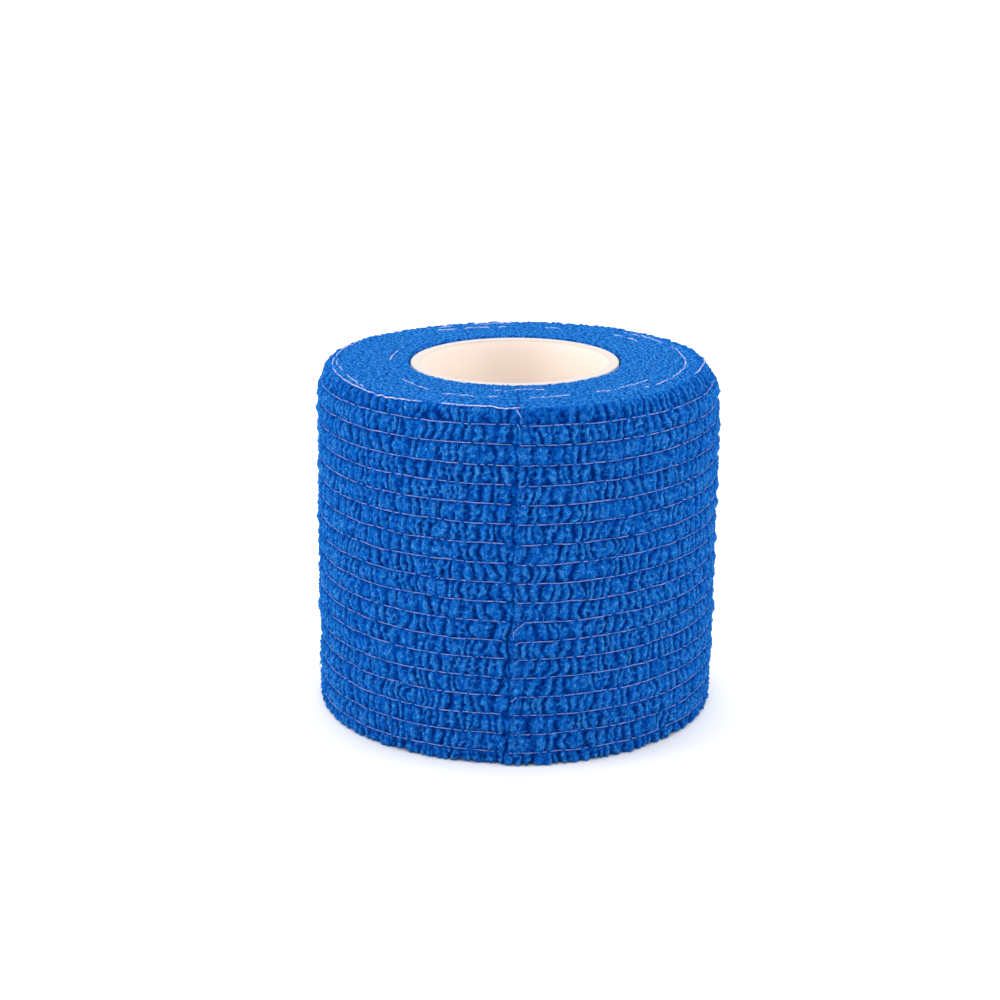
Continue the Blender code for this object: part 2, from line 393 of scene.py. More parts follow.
class Cloth:
    """The grid of the wound cloth. Its rows run from the core's edge underneath to its edge on top."""

    def __init__(self):
        self.dice = np.random.default_rng(11)
        self.turn = np.linspace(0.0, 1.0, COLUMNS)
        self.along = self.turn * CIRCUMFERENCE
        self.wander = self.thread_wander()
        self.band, self.share = [], []
        self.radius, self.height = [], []
        self.out, self.up = [], []
        self.ring_ends = []
        self.lay_underside()
        self.lay_wall()
        self.lay_top()
        for name in ("radius", "height", "out", "up"):
            setattr(self, name, np.array(getattr(self, name)))
        for name in ("band", "share"):
            setattr(self, name, np.array(getattr(self, name))[:, None])
        self.rim_row = np.flatnonzero(self.band[:, 0] == THREAD_COUNT)[-1]
        self.raise_relief()

    def thread_wander(self):
        """How far each thread strays up or down from its own height, all the way round."""
        wide = smooth_noise(self.dice, (THREAD_COUNT, COLUMNS), (0.6, 60.0))
        fine = smooth_noise(self.dice, (THREAD_COUNT, COLUMNS), (0.0, 9.0))
        return THREAD_WANDER * (WIDE_WANDER * wide + FINE_WANDER * fine)

    def thread_height(self, number):
        return FIRST_THREAD_HEIGHT + number * THREAD_PITCH + self.wander[number]

    def add_row(self, radius, height, out, up, band, share):
        """out and up are the way that the cloth faces there."""
        flat = np.zeros(COLUMNS)
        for grid, value in ((self.radius, radius), (self.height, height), (self.out, out), (self.up, up)):
            grid.append(flat + value)
        self.band.append(band)
        self.share.append(share)

    def lay_underside(self):
        edge = wall_radius(self.turn, 0.0) - FOOT_ROUNDING
        for row in range(UNDERSIDE_ROWS):
            inwards = 1.0 - row / UNDERSIDE_ROWS
            self.add_row(edge + inwards * (INNER_RADIUS - edge), 0.0, 0.0, -1.0, -1, 0.0)

    def lay_wall(self):
        foot = wall_radius(self.turn, 0.0)
        for bend in np.radians((0, 30, 60)):
            radius = foot - FOOT_ROUNDING * (1.0 - math.sin(bend))
            height = FOOT_ROUNDING * (1.0 - math.cos(bend))
            self.add_row(radius, height, math.sin(bend), -math.cos(bend), 0, height / FIRST_THREAD_HEIGHT)
        first = self.thread_height(0)
        for share in np.linspace(FOOT_ROUNDING / FIRST_THREAD_HEIGHT, 1.0, ROWS_PER_BAND // 2):
            height = share * first
            self.add_row(wall_radius(self.turn, height), height, 1.0, 0.0, 0, share)
        for number in range(1, THREAD_COUNT):
            self.ring_ends.append(len(self.radius) - 1)
            low, high = self.thread_height(number - 1), self.thread_height(number)
            for row in range(1, ROWS_PER_BAND + 1):
                share = row / ROWS_PER_BAND
                height = low + share * (high - low)
                self.add_row(wall_radius(self.turn, height), height, 1.0, 0.0, number, share)
        self.ring_ends.append(len(self.radius) - 1)

    def lay_top(self):
        """The band above the last thread, the rounded rim and the top face."""
        shoulder, drop = rim_at(bearing_at(self.turn, TAPE_WIDTH))
        top = TAPE_WIDTH - drop
        low = self.thread_height(THREAD_COUNT - 1)
        rim = wall_radius(self.turn, TAPE_WIDTH)
        turn_up = top - SHOULDER_HEIGHT
        for share in (0.2, 0.4, 0.7):
            height = low + share * (turn_up - low)
            radius = wall_radius(self.turn, height)
            self.add_row(radius, height, 1.0, 0.0, THREAD_COUNT, BELOW_SHOULDER * share)
        bends = np.radians(np.linspace(0.0, 90.0, SHOULDER_ROWS))
        for bend in bends:
            radius = rim - shoulder * (1.0 - math.cos(bend))
            height = turn_up + SHOULDER_HEIGHT * math.sin(bend)
            share = BELOW_SHOULDER + (1.0 - BELOW_SHOULDER) * bend / bends[-1]
            self.add_row(radius, height, math.cos(bend), math.sin(bend), THREAD_COUNT, share)
        outer, inner = rim - shoulder, INNER_RADIUS + INNER_EDGE_ROUNDING
        for row in range(1, FACE_ROWS + 1):
            inwards = row / FACE_ROWS
            height = top + inwards * (TAPE_WIDTH - INNER_EDGE_DROP - top)
            self.add_row(outer + inwards * (inner - outer), height, 0.0, 1.0, THREAD_COUNT + 1, 0.0)
        for bend in np.radians((35, 90)):
            radius = inner - INNER_EDGE_ROUNDING * math.sin(bend)
            height = TAPE_WIDTH - INNER_EDGE_DROP - INNER_EDGE_ROUNDING * (1.0 - math.cos(bend))
            self.add_row(radius, height, -math.sin(bend), math.cos(bend), THREAD_COUNT + 1, 0.0)

    def puckers(self, number):
        """Ridges and grooves of one band, for each of its rows: about 1 on a ridge, and less in a groove."""
        rows = np.flatnonzero(self.band[:, 0] == number)
        share = self.share[rows]
        if number == THREAD_COUNT:
            share = share / 2
        elif number == 0:
            share = (share + 1.0) / 2
        lean = line_noise(self.dice, COLUMNS, 5.0)
        bow = line_noise(self.dice, COLUMNS, 5.0)
        wiggle = smooth_noise(self.dice, (len(rows), COLUMNS), (1.6, 2.5))
        bowed = PUCKER_BOW * bow * (4 * share * (1 - share) - 0.5)
        place = self.along + PUCKER_LEAN * lean * (share - 0.5) + bowed + PUCKER_WIGGLE * wiggle
        count = int(1.4 * CIRCUMFERENCE / PUCKER_PITCH)
        steps = self.dice.gamma(PUCKER_EVENNESS, PUCKER_PITCH / PUCKER_EVENNESS, count)
        centres = np.cumsum(steps) - 4.0 * PUCKER_PITCH
        phase = np.interp(place, centres, np.arange(count))
        ridge_heights = self.dice.uniform(*RIDGE_HEIGHTS, count)
        groove_depths = self.dice.choice(GROOVE_DEPTHS, count, p=GROOVE_CHANCES)
        height = np.interp(phase, np.arange(count), ridge_heights)
        from_ridge = np.abs(2.0 * (phase - np.round(phase)))
        return rows, height - groove_depths[np.floor(phase).astype(int)] * from_ridge**PUCKER_SHARPNESS

    def fullness(self):
        """0 where a thread holds the cloth in, 1 half way to the next one and at the tape's edges."""
        middle = np.sin(math.pi * self.share)
        foot = np.cos(math.pi / 2 * self.share)
        rim = np.sin(math.pi / 2 * self.share)
        full = np.where(self.band == 0, foot, np.where(self.band == THREAD_COUNT, rim, middle))
        full = np.where((self.band < 0) | (self.band > THREAD_COUNT), 1.0, full)
        return np.clip(full, 0.0, 1.0)

    def path_up(self):
        """Distance of each row from the first, up the cloth."""
        steps = np.hypot(np.diff(self.radius[:, 0]), np.diff(self.height[:, 0]))
        return np.concatenate(([0.0], np.cumsum(steps)))[:, None]

    def wall_relief(self, grain):
        """Puckers, the folds and pits on them, and the grooves that the threads draw in."""
        shape = self.radius.shape
        full = self.fullness()
        ridges = np.zeros(shape)
        for number in range(THREAD_COUNT + 1):
            rows, band_ridges = self.puckers(number)
            ridges[rows] = band_ridges
        for end in self.ring_ends:
            ridges[end] = (ridges[end - 1] + ridges[end + 1]) / 2
        ridges = np.where(self.on_top, ridges[self.rim_row], ridges)
        ridges = np.where(self.below, ridges[UNDERSIDE_ROWS], ridges)
        everywhere = np.zeros(shape)
        nearest, second = cells(self.dice, self.along + everywhere, self.path_up() + everywhere, FOLD_CELL)
        folded = ease(0.5 + 0.9 * smooth_noise(self.dice, shape, (5.0, 5.0)))
        pitted = ease(0.3 + 0.9 * smooth_noise(self.dice, shape, (4.0, 4.0)))
        folds = np.exp(-(((second - nearest) / FOLD_WIDTH) ** 2))
        pits = np.exp(-((nearest / PIT_WIDTH) ** 2))
        streaks = smooth_noise(self.dice, shape, (2.6, 1.0))
        swell = smooth_noise(self.dice, shape, (9.0, 40.0))
        strength = PUCKER_AT_THREAD + (1.0 - PUCKER_AT_THREAD) * full**0.7
        over_rim = np.where(self.band == THREAD_COUNT, ease((self.share - 0.5) / 0.5), 0.0)
        over_rim = np.where(self.on_top, 1.0, over_rim)
        strength = strength * (1.0 - (1.0 - PUCKER_AT_RIM) * over_rim)
        from_cut = PUCKER_AT_CUT + (1.0 - PUCKER_AT_CUT) * ease(self.along / PUCKERS_GROW_OVER)
        fine = FOLD_HEIGHT * folded * folds - PIT_DEPTH * pitted * pits + STREAK_HEIGHT * streaks
        coarse = PUCKER_DEPTH * strength * from_cut * (ridges - MIDDLE_RIDGE)
        self.folds = folded * folds * (0.25 + 0.75 * full)
        drawn_in = RIB_DEPTH * (1.0 - full**0.8)
        fine = (0.2 + 0.8 * full) * (1.0 - 0.6 * over_rim) * fine
        return coarse - drawn_in + fine + GRAIN_DEPTH * grain + SWELL_HEIGHT * swell

    def face_relief(self, grain):
        """The edges of the turns, felted together: faint lines from turn to turn, and fuzz."""
        shape = self.radius.shape
        bearing = bearing_at(self.turn, self.height)
        across, along = self.radius * np.cos(bearing), self.radius * np.sin(bearing)
        nearest = cells(self.dice, across, along, (TUFT_SIZE, TUFT_SIZE))[0]
        crimp = smooth_noise(self.dice, shape, (1.5, 3.0))
        patches = ease(0.5 + 0.8 * smooth_noise(self.dice, shape, (5.0, 30.0)))
        phase = (wall_radius(self.turn, TAPE_WIDTH) - self.radius) / TURN_THICKNESS + TURN_LINE_CRIMP * crimp
        lines = (1.0 - np.abs(np.sin(math.pi * phase))) ** 2
        fuzz = smooth_noise(self.dice, shape, (0.6, 0.8))
        tufts = TUFT_HEIGHT * (TUFT_MIDDLE - nearest)
        return tufts - TURN_LINE_DEPTH * patches * lines + FACE_GRAIN_DEPTH * grain + FUZZ_HEIGHT * fuzz

    def raise_relief(self):
        shape = self.radius.shape
        self.on_top = self.band == THREAD_COUNT + 1
        self.below = self.band == -1
        flat = self.on_top | self.below
        grain = smooth_noise(self.dice, shape, (0.7, 0.8))
        wall = self.wall_relief(grain)
        edge = np.where(self.on_top, self.radius[self.rim_row], self.radius[UNDERSIDE_ROWS])
        from_edge = np.maximum(edge - self.radius, 0.0)
        puffed = np.where(flat, np.exp(-from_edge / WALL_RELIEF_REACH), 1.0)
        relief = puffed * wall + (1.0 - puffed) * self.face_relief(grain)
        relief = np.where(self.below, np.minimum(relief, 0.0), relief)
        thinning = FLAP_THINNING * np.exp(-self.along / FLAP_THINNING_WIDTH)
        fill = STEP_FILL * ease((self.along - CIRCUMFERENCE + STEP_FILL_WIDTH) / STEP_FILL_WIDTH)
        self.relief = relief + (fill - thinning) * np.maximum(self.out, 0.0)
        self.bearing = bearing_at(self.turn, self.height, self.cut_rag(shape[0]))
        self.radius = self.radius + self.out * self.relief
        self.height = np.maximum(self.height + self.up * self.relief, np.where(self.below, -1.0, 0.0))
        self.points = place_at(self.radius, self.bearing, self.height)
        self.tint()

    def tint(self):
        """How far each point stands above the cloth about it, painted as shade in hollows and light on crests
        and darkened by the painted shade under the cut end; and how much pale fibre its crests show, as a
        painted highlight on crests, folds and the cut edge.
        """
        flat = self.on_top | self.below
        # Darker in hollows and lighter on crests: painted shade and painted light
        above = self.relief - blurred(self.relief, 4)
        face_tint = FACE_TINT + above / FACE_TINT_HEIGHT
        self.raised = np.where(flat, face_tint, WALL_TINT + above / WALL_TINT_HEIGHT)
        # Pale fibre where the cloth crests, shown as a painted highlight
        crest = self.relief - blurred(self.relief, 1)
        crest_share = np.where(flat, FACE_CREST_SHARE, WALL_CREST_SHARE)
        self.pale = np.clip(crest_share * crest / crest.std(), 0.0, 1.0)
        # Paleness all over the top and underside, and a painted highlight along the folds on the wall
        self.pale = self.pale + np.where(flat, PALENESS, PALENESS * self.folds)
        past_shade_edge = self.along - CIRCUMFERENCE + CUT_SHADE_WIDTH
        under_flap = CUT_SHADE * ease(past_shade_edge / CUT_SHADE_FADES_OVER)
        self.raised = self.raised * (1.0 - under_flap)
        self.pale = self.pale * (1.0 - under_flap)
        # A painted highlight along the cut edge
        self.pale[:, :2] += np.where(flat, 0.0, CUT_EDGE_PALENESS)
        self.raised = np.clip(self.raised, 0.0, 1.0)
        self.pale = np.clip(self.pale, 0.0, 1.0)

    def cut_rag(self, count):
        coarse = line_noise(self.dice, count, 5.0)
        fine = line_noise(self.dice, count, 0.9)
        return (CUT_RAGGEDNESS * (coarse + 0.6 * fine))[:, None]

    def column_at(self, bearing):
        """The column nearest to a bearing on the top."""
        upright = cut_bearing(TAPE_WIDTH / 2)
        return int(round((bearing - upright) % math.tau / math.tau * (COLUMNS - 1)))

    def top_height(self, radius, bearing):
        column = self.column_at(bearing)
        face = np.flatnonzero(self.on_top[:, 0])[:-2]
        return np.interp(radius, self.radius[face, column][::-1], self.height[face, column][::-1])

    def wall_place(self, along, height, lift):
        """A point this far outside the wall, this far along from the cut end."""
        turn = along / CIRCUMFERENCE
        bearing = bearing_at(max(turn, 0.0), height) + min(turn, 0.0) * math.tau
        return place_at(wall_radius(max(turn, 0.0), height) + lift, bearing, height)


def add_piece(name, points, quads, uvs, material, slot):
    mesh = bpy.data.meshes.new(name)
    mesh.vertices.add(len(points))
    mesh.vertices.foreach_set("co", (points * MM).astype(np.float32).ravel())
    mesh.loops.add(quads.size)
    mesh.loops.foreach_set("vertex_index", quads.astype(np.int32).ravel())
    mesh.polygons.add(len(quads))
    mesh.polygons.foreach_set("loop_start", np.arange(0, quads.size, quads.shape[1], dtype=np.int32))
    layer = mesh.uv_layers.new(name="OFBake")
    layer.data.foreach_set("uv", uvs.astype(np.float32).ravel())
    mesh.update(calc_edges=True)
    mesh.shade_smooth()
    mesh.materials.append(material)
    piece = bpy.data.objects.new(name, mesh)
    bpy.context.scene.collection.objects.link(piece)
    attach(piece, "root")
    return piece


def set_attribute(piece, name, values):
    attribute = piece.data.attributes.new(name, "FLOAT", "POINT")
    attribute.data.foreach_set("value", values.astype(np.float32).ravel())


def ring_faces(rows, columns, strips):
    """Faces of a closed ring of closed sections, and their places on a map of strips, one above the other."""
    row, column = np.meshgrid(np.arange(rows), np.arange(columns), indexing="ij")
    row, column = row.ravel(), column.ravel()
    above, beside = (row + 1) % rows, (column + 1) % columns
    near, far = row * columns, above * columns
    corners = (near + column, near + beside, far + beside, far + column)
    strip = column * strips // columns
    low = column * strips / columns - strip
    high = low + strips / columns
    tall = 1.0 - 2.0 * RING_MAP_MARGIN
    bottom = (strip + RING_MAP_MARGIN + tall * row / rows) / strips
    top = (strip + RING_MAP_MARGIN + tall * (row + 1) / rows) / strips
    uvs = np.stack((low, bottom, high, bottom, high, top, low, top), axis=1)
    return np.stack(corners, axis=1), np.clip(uvs, 0.0, 1.0)


def make_cloth(cloth, material):
    """The cloth in closed rings, cut at threads, where the seams between them don't show."""
    last = len(cloth.points) - 1
    ends = [0] + cloth.ring_ends + [last]
    bearing = cloth.bearing[0]
    for number, (first_band, last_band) in enumerate(RINGS):
        low, high = ends[first_band], ends[last_band]
        section = list(cloth.points[low : high + 1])
        levels = []
        if high < last:
            levels.append(section[-1][:, 2].mean())
        if low > 0:
            levels.append(section[0][:, 2].mean())
        for level in levels:
            section.append(place_at(INNER_RADIUS, bearing, np.full(COLUMNS, level)))
        quads, uvs = ring_faces(len(section), COLUMNS, 4)
        points = np.array(section).reshape(-1, 3)
        piece = add_piece(f"bandage_ring_{number + 1}", points, quads, uvs, material, "bandage")
        # Masks of painted shade and light, and of pale fibre with a painted highlight, for the cloth's
        # material
        for name, values in (("raised", cloth.raised), ("pale", cloth.pale)):
            hidden = np.full((len(levels), COLUMNS), 0.5)
            set_attribute(piece, name, np.concatenate((values[low : high + 1], hidden)))
        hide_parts("bandage")


def make_tubes(paths, radius):
    """Thin closed four-sided tubes along these paths, an array of paths with as many points in each."""
    count, steps = paths.shape[:2]
    sides = TUBE_SIDES
    ahead = np.gradient(paths, axis=1)
    ahead /= np.linalg.norm(ahead, axis=2, keepdims=True) + 1e-9
    guide = np.where(np.abs(ahead[..., 2:]) < 0.8, (0.0, 0.0, 1.0), (1.0, 0.0, 0.0))
    side = np.cross(ahead, guide)
    side /= np.linalg.norm(side, axis=2, keepdims=True)
    over = np.cross(side, ahead)
    angles = np.arange(sides) / sides * math.tau
    taper = np.ones(steps)
    taper[[0, -1]] = TUBE_END
    ring = np.cos(angles)[:, None] * side[:, :, None] + np.sin(angles)[:, None] * over[:, :, None]
    points = paths[:, :, None] + radius * taper[:, None, None] * ring
    step, corner = np.meshgrid(np.arange(steps - 1), np.arange(sides), indexing="ij")
    step, corner = step.ravel(), corner.ravel()
    beside = (corner + 1) % sides
    near, far = step * sides, (step + 1) * sides
    faces = np.stack((near + corner, far + corner, far + beside, near + beside), axis=1)
    end = (steps - 1) * sides
    caps = np.array(((0, 1, 2, 3), (end + 3, end + 2, end + 1, end)))
    faces = np.concatenate((faces, caps))
    low = SIDES_MAP_WIDTH * step / (steps - 1)
    high = SIDES_MAP_WIDTH * (step + 1) / (steps - 1)
    tall = 1.0 - 2.0 * SIDES_MAP_MARGIN
    bottom = SIDES_MAP_MARGIN + tall * corner / sides
    top = SIDES_MAP_MARGIN + tall * (corner + 1) / sides
    uvs = np.stack((low, bottom, high, bottom, high, top, low, top), axis=1)
    cap_bottom, cap_top = 2.0 * SIDES_MAP_MARGIN, 1.0 - 2.0 * SIDES_MAP_MARGIN
    cap_uvs = []
    for left in ENDS_MAP_PLACES:
        right = left + ENDS_MAP_WIDTH
        cap_uvs.append((left, cap_bottom, right, cap_bottom, right, cap_top, left, cap_top))
    uvs = np.concatenate((uvs, cap_uvs))
    quads = np.arange(count)[:, None, None] * steps * sides + faces
    every_uv = np.broadcast_to(uvs, (count, *uvs.shape))
    return points.reshape(-1, 3), quads.reshape(-1, 4), every_uv.reshape(-1, 8)


def join_tubes(parts):
    """Several lots of tubes as one mesh. Each tube has its own cell of the map."""
    points, quads, uvs, start = [], [], [], 0
    tubes = sum(count for _, count in parts)
    wide = math.ceil(math.sqrt(tubes / 6))
    tall = math.ceil(tubes / wide)
    number = 0
    for (tube_points, tube_quads, tube_uvs), count in parts:
        cell = number + np.repeat(np.arange(count), len(tube_quads) // count)
        placed = tube_uvs.copy()
        placed[:, 0::2] = (placed[:, 0::2] + (cell % wide)[:, None]) / wide
        placed[:, 1::2] = (placed[:, 1::2] + (cell // wide)[:, None]) / tall
        points.append(tube_points)
        quads.append(start + tube_quads)
        uvs.append(placed)
        start += len(tube_points)
        number += count
    return np.concatenate(points), np.concatenate(quads), np.concatenate(uvs)


def smooth_path(points, count):
    """This many points along a soft curve through the given ones."""
    points = np.array(points, dtype=float)
    spans = np.linalg.norm(np.diff(points, axis=0), axis=1)
    reach = np.concatenate(([0.0], np.cumsum(spans)))
    where = np.linspace(0.0, reach[-1], count)
    path = np.stack([np.interp(where, reach, column) for column in points.T], axis=1)
    for _ in range(2):
        path[1:-1] = (path[:-2] + 2.0 * path[1:-1] + path[2:]) / 4.0
    return path


def thread_path(cloth, dice, number, end):
    """A thread of the outermost turn, from near the cut end round to it. Cloth covers it in places."""
    relief = blurred(cloth.relief[end][None, :], 6)[0]
    level = cloth.radius[end] - cloth.relief[end] + relief
    count = int(1.4 * CIRCUMFERENCE / COVER_PITCH)
    covers = np.cumsum(dice.gamma(COVER_EVENNESS, COVER_PITCH / COVER_EVENNESS, count))
    widths = dice.uniform(*COVER_WIDTHS, count)
    depths = dice.uniform(*COVER_DEPTHS, count)
    covered = np.zeros(COLUMNS)
    for middle, width, depth in zip(covers, widths, depths):
        covered = np.maximum(covered, depth * np.exp(-(((cloth.along - middle) / width) ** 4)))
    radius = level + THREAD_LIFT - covered + 0.03 * line_noise(dice, COLUMNS, 3.0)
    height = cloth.height[end] + 0.025 * line_noise(dice, COLUMNS, 4.0)
    path = place_at(radius, cloth.bearing[end], height)
    curl = THREAD_CURLS.get(number, ())
    start = dice.uniform(*THREAD_STARTS)
    stop = CIRCUMFERENCE - dice.uniform(*THREAD_STOPS)
    if curl:
        start = curl[0][0]
    shown = (cloth.along >= start) & (cloth.along < stop)
    path = path[shown]
    if curl:
        level = FIRST_THREAD_HEIGHT + number * THREAD_PITCH
        free = [cloth.wall_place(along, level + rise, 0.05) for along, rise in curl[:0:-1]]
        path = np.concatenate((smooth_path(free + [path[0]], 7)[:-1], path))
    return path


def make_threads(cloth, material):
    dice = np.random.default_rng(5)
    parts = []
    for number, end in enumerate(cloth.ring_ends):
        path = thread_path(cloth, dice, number, end)
        parts.append((make_tubes(path[None], THREAD_RADIUS), 1))
    for bit in LOOSE_BITS:
        ends = [cloth.wall_place(along, height, LOOSE_BIT_LIFT) for along, height in bit]
        parts.append((make_tubes(smooth_path(ends, 6)[None], LOOSE_BIT_RADIUS), 1))
    add_piece("elastic_threads", *join_tubes(parts), material, "bandage")


def make_top_threads(cloth, material):
    dice = np.random.default_rng(8)
    parts = []
    for strand in TOP_THREADS:
        turns = np.unwrap(np.radians([bearing for _, bearing in strand]))
        radii = np.array([radius for radius, _ in strand])
        length = np.abs(np.diff(turns)).sum() * radii.mean()
        count = max(8, int(length / TOP_THREAD_STEP))
        where, given = np.linspace(0.0, 1.0, count), np.linspace(0.0, 1.0, len(strand))
        bearing = np.interp(where, given, turns)
        radius = np.interp(where, given, radii) + 0.03 * line_noise(dice, count, 3.0)
        height = np.array([cloth.top_height(r, b) for r, b in zip(radius, bearing)])
        covered = ease(line_noise(dice, count, 3.0) - 0.2)
        level = (height + blurred(height[None], 3)[0]) / 2
        height = level + TOP_THREAD_LIFT - TOP_THREAD_COVER * covered
        parts.append((make_tubes(place_at(radius, bearing, height)[None], TOP_THREAD_RADIUS), 1))
    add_piece("top_threads", *join_tubes(parts), material, "bandage")


def fibre_paths(cloth, dice, rows, columns, longest):
    """Short curved strands that lie on the cloth or stand a little off it."""
    count = len(rows)
    at = cloth.points[rows, columns]
    right = cloth.points[rows, (columns + 2) % COLUMNS] - cloth.points[rows, columns - 2]
    upward = cloth.points[rows + 1, columns] - cloth.points[rows - 1, columns]
    outward = np.cross(right, upward)
    outward /= np.linalg.norm(outward, axis=1, keepdims=True) + 1e-9
    spin = dice.uniform(0.0, math.tau, count)[:, None]
    ahead = np.cos(spin) * right / np.linalg.norm(right, axis=1, keepdims=True)
    ahead = ahead + np.sin(spin) * upward / (np.linalg.norm(upward, axis=1, keepdims=True) + 1e-9)
    aside = np.cross(outward, ahead)
    length = dice.uniform(FIBRE_SHORTEST, longest, count)[:, None]
    bend = dice.normal(0.0, FIBRE_BEND, count)[:, None]
    lift = dice.gamma(2.0, FIBRE_LIFT, count)[:, None]
    paths = []
    for share in np.linspace(0.0, 1.0, FIBRE_POINTS):
        rise = lift * math.sin(math.pi * (0.08 + 0.72 * share)) - FIBRE_SINK * (1.0 - share)
        onwards = (share - 0.5) * length * ahead
        sideways = 2.0 * bend * length * (share - 0.5) ** 2 * aside
        paths.append(at + onwards + sideways + rise * outward)
    return np.stack(paths, axis=1)


def make_fibres(cloth, material):
    dice = np.random.default_rng(21)
    rows = dice.integers(UNDERSIDE_ROWS + 6, len(cloth.points) - 4, FIBRE_COUNT)
    columns = dice.integers(3, COLUMNS - 4, FIBRE_COUNT)
    anywhere = fibre_paths(cloth, dice, rows, columns, FIBRE_LONGEST)
    rows = dice.integers(UNDERSIDE_ROWS + 6, cloth.rim_row, CUT_FIBRE_COUNT)
    columns = dice.integers(2, 5, CUT_FIBRE_COUNT)
    at_cut = fibre_paths(cloth, dice, rows, columns, CUT_FIBRE_LONGEST)
    paths = np.concatenate((anywhere, at_cut))
    parts = [(make_tubes(paths, FIBRE_RADIUS), len(paths))]
    add_piece("stray_fibres", *join_tubes(parts), material, "bandage")


def make_core(material):
    """The plastic tube, its rims rounded."""
    columns = CORE_COLUMNS
    bearing = np.arange(columns) / columns * math.tau
    low, high = CORE_LOW[2], CORE_HIGH[2]
    inner, rounding = CORE_RADIUS - CORE_WALL, CORE_ROUNDING
    bends = np.radians((0, 30, 60, 90))
    section = []
    for radius, sign in ((CORE_RADIUS - rounding, 1), (inner + rounding, -1)):
        edge = [(radius + sign * rounding * math.cos(b), rounding * (1.0 - math.sin(b))) for b in bends]
        section.append(edge)
    outer_edge, inner_edge = section
    top = [(r, high - drop) for r, drop in outer_edge] + [(r, high - drop) for r, drop in inner_edge[::-1]]
    inside_heights = np.linspace(high - CORE_INSIDE_MARGIN, low + CORE_INSIDE_MARGIN, CORE_INSIDE_ROWS)
    inside = [(inner, height) for height in inside_heights]
    foot = [(r, low + drop) for r, drop in inner_edge] + [(r, low + drop) for r, drop in outer_edge[::-1]]
    loop = top + inside + foot
    points = np.array([place_at(radius, bearing, np.full(columns, height)) for radius, height in loop])
    quads, uvs = ring_faces(len(loop), columns, 2)
    piece = add_piece("core_tube", points.reshape(-1, 3), quads, uvs, material, "core")
    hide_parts("core")


def noise_node(nodes, links, where, scale, detail, roughness=0.5, distortion=0.0):
    noise = nodes.new("ShaderNodeTexNoise")
    noise.inputs["Scale"].default_value = scale
    noise.inputs["Detail"].default_value = detail
    noise.inputs["Roughness"].default_value = roughness
    noise.inputs["Distortion"].default_value = distortion
    links.new(where, noise.inputs["Vector"])
    return noise.outputs["Fac"]


def math_node(nodes, links, operation, first, second=None, clamp=False):
    node = nodes.new("ShaderNodeMath")
    node.operation = operation
    node.use_clamp = clamp
    for socket, value in zip(node.inputs, (first, second)):
        if isinstance(value, (int, float)):
            socket.default_value = value
        elif value is not None:
            links.new(value, socket)
    return node.outputs[0]


def ramp_node(nodes, links, value, stops):
    ramp = nodes.new("ShaderNodeValToRGB")
    while len(ramp.color_ramp.elements) < len(stops):
        ramp.color_ramp.elements.new(0.5)
    for element, (place, colour) in zip(ramp.color_ramp.elements, stops):
        element.position = place
        element.color = (*colour, 1.0)
    links.new(value, ramp.inputs["Fac"])
    return ramp.outputs["Color"]


def mix_colours(nodes, links, share, low, high):
    mix = nodes.new("ShaderNodeMix")
    mix.data_type = "RGBA"
    links.new(share, mix.inputs["Factor"])
    for socket, value in ((mix.inputs[6], low), (mix.inputs[7], high)):
        if isinstance(value, tuple):
            socket.default_value = (*value, 1.0)
        else:
            links.new(value, socket)
    return mix.outputs[2]


def attribute_node(nodes, name):
    attribute = nodes.new("ShaderNodeAttribute")
    attribute.attribute_name = name
    return attribute.outputs["Fac"]


def fibre_lines(nodes, links, where, scale, stretch, width):
    """Thin curling lines, as fibres lie in nonwoven cloth: the level lines of a noise."""
    mapping = nodes.new("ShaderNodeMapping")
    mapping.inputs["Scale"].default_value = stretch
    links.new(where, mapping.inputs["Vector"])
    noise = noise_node(nodes, links, mapping.outputs["Vector"], scale, 1.0, 0.5, 0.6)
    from_level = math_node(nodes, links, "ABSOLUTE", math_node(nodes, links, "SUBTRACT", noise, 0.5))
    in_widths = math_node(nodes, links, "DIVIDE", from_level, width)
    return math_node(nodes, links, "SUBTRACT", 1.0, in_widths, clamp=True)


def start_material(name):
    material = bpy.data.materials.new(name)
    material.use_nodes = True
    nodes, links = material.node_tree.nodes, material.node_tree.links
    where = nodes.new("ShaderNodeTexCoord").outputs["Object"]
    return material, nodes, links, where, nodes["Principled BSDF"]


def add_bump(nodes, links, shader, height, strength, distance):
    bump = nodes.new("ShaderNodeBump")
    bump.inputs["Strength"].default_value = strength
    bump.inputs["Distance"].default_value = distance * MM
    links.new(height, bump.inputs["Height"])
    links.new(bump.outputs["Normal"], shader.inputs["Normal"])


